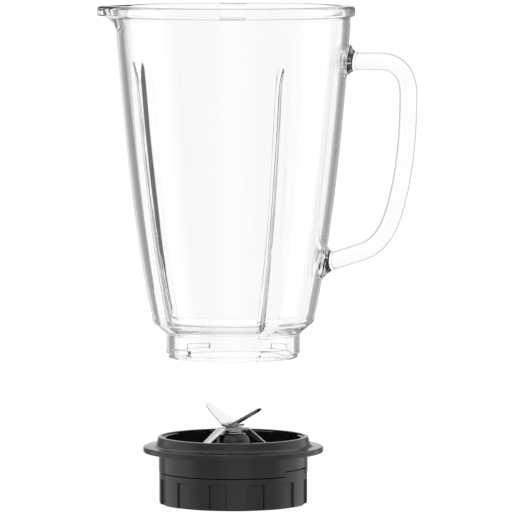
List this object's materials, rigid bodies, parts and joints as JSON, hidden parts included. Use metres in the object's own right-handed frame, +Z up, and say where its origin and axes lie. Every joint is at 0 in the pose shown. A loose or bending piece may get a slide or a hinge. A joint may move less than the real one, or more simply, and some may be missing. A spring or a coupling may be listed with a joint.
{
  "type": "blender jug with knife unit",
  "caption": "Clear glass blender jug with a side handle and pouring spout, above its black knife unit with steel blades.",
  "frame": {"origin": "on the table, under the middle of the whole object's box; the jug's axis is 15.2 mm towards -X", "axes": "+Z up along the jug's axis, +X towards the handle, -X towards the spout, -Y towards the graduated front"},
  "size_m": [0.2002, 0.1528, 0.3123],
  "materials": {
    "glass": "clear pressed glass, polished",
    "silicone": "matte black silicone",
    "housing_plastic": "satin black moulded plastic",
    "coupling_plastic": "matte black moulded plastic",
    "polished_steel": "polished stainless sheet with ground edges",
    "machined_steel": "turned steel",
    "bearing_metal": "turned brass and sintered bronze"
  },
  "bodies": {
    "knife_unit": {"knife_housing": "housing_plastic", "drive_collar": "housing_plastic", "collar_screw_1": "machined_steel", "collar_screw_2": "machined_steel", "collar_screw_3": "machined_steel", "collar_screw_4": "machined_steel", "bearing_sleeve": "bearing_metal", "bearing_nut": "machined_steel", "upper_bush": "bearing_metal", "lower_bush": "bearing_metal", "shaft_seal": "silicone"},
    "rotor": {"blade_shaft": "machined_steel", "thrust_washer": "machined_steel", "blade_seat": "machined_steel", "lower_blade": "polished_steel", "blade_spacer": "machined_steel", "upper_blade": "polished_steel", "peened_collar": "machined_steel", "retaining_ring": "machined_steel", "lower_washer": "machined_steel", "drive_coupling": "coupling_plastic"},
    "seal": {"jug_seal": "silicone"},
    "jug": {"jug_body": "glass", "jug_handle": "glass"}
  },
  "joints": [
    {"name": "blade_spin", "type": "hinge", "parent": "knife_unit", "child": "rotor", "pos_m": [-0.01517, 0, 0.04], "axis": [0, 0, 1], "continuous": true},
    {"name": "jug_twist", "type": "hinge", "parent": "knife_unit", "child": "seal", "pos_m": [-0.01517, 0, 0.026], "axis": [0, 0, 1], "range_deg": [0, 25]},
    {"name": "jug_lift", "type": "slide", "parent": "seal", "child": "jug", "axis": [0, 0, 1], "range_m": [-0.064, 0]}
  ]
}
